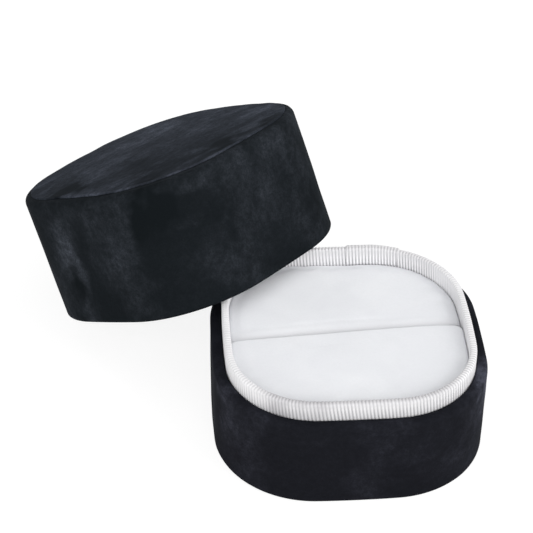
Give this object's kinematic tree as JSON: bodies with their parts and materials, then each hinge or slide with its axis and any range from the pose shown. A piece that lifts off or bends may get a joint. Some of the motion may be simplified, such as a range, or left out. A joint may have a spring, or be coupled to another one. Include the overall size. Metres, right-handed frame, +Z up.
{
  "type": "ring box",
  "caption": "Rounded-square velvet ring box with a ribbon-covered collar, two slit ring pads and a lift-off lid that leans beside the base.",
  "frame": {"origin": "centre of the base's underside, where it rests on a table", "axes": "+Z up out of the open base; the slit between the pads runs along X; the front pad is towards -Y; the lid leans towards -X +Y"},
  "size_m": [0.1013, 0.1075, 0.0542],
  "materials": {
    "velvet_black": "short-pile velvet",
    "greyboard": "matt greyboard",
    "ribbon_white": "ribbed grosgrain ribbon",
    "pad_velvet": "white short-pile velvet",
    "foam": "soft foam",
    "lining_pale": "pale woven lining"
  },
  "bodies": {
    "base": {"base_velvet_wrap": "velvet_black", "base_wall_board": "greyboard", "base_floor_board": "greyboard", "base_bottom_sheet": "velvet_black", "neck_board": "greyboard", "neck_ribbon": "ribbon_white", "insert_platform": "greyboard", "front_pad_foam": "foam", "front_pad_cover": "pad_velvet", "rear_pad_foam": "foam", "rear_pad_cover": "pad_velvet"},
    "lid": {"lid_velvet_wrap": "velvet_black", "lid_velvet_top": "velvet_black", "lid_wall_board": "greyboard", "lid_top_board": "greyboard", "lid_top_wadding": "foam", "lid_liner_card": "greyboard", "lid_liner_cover": "lining_pale", "lid_ceiling_card": "greyboard", "lid_ceiling_foam": "foam", "lid_ceiling_cover": "lining_pale"}
  },
  "joints": [
    {"name": "lid_lift", "type": "slide", "parent": "base", "child": "lid", "axis": [0, 0, 1], "range_m": [0, 0.06]}
  ]
}
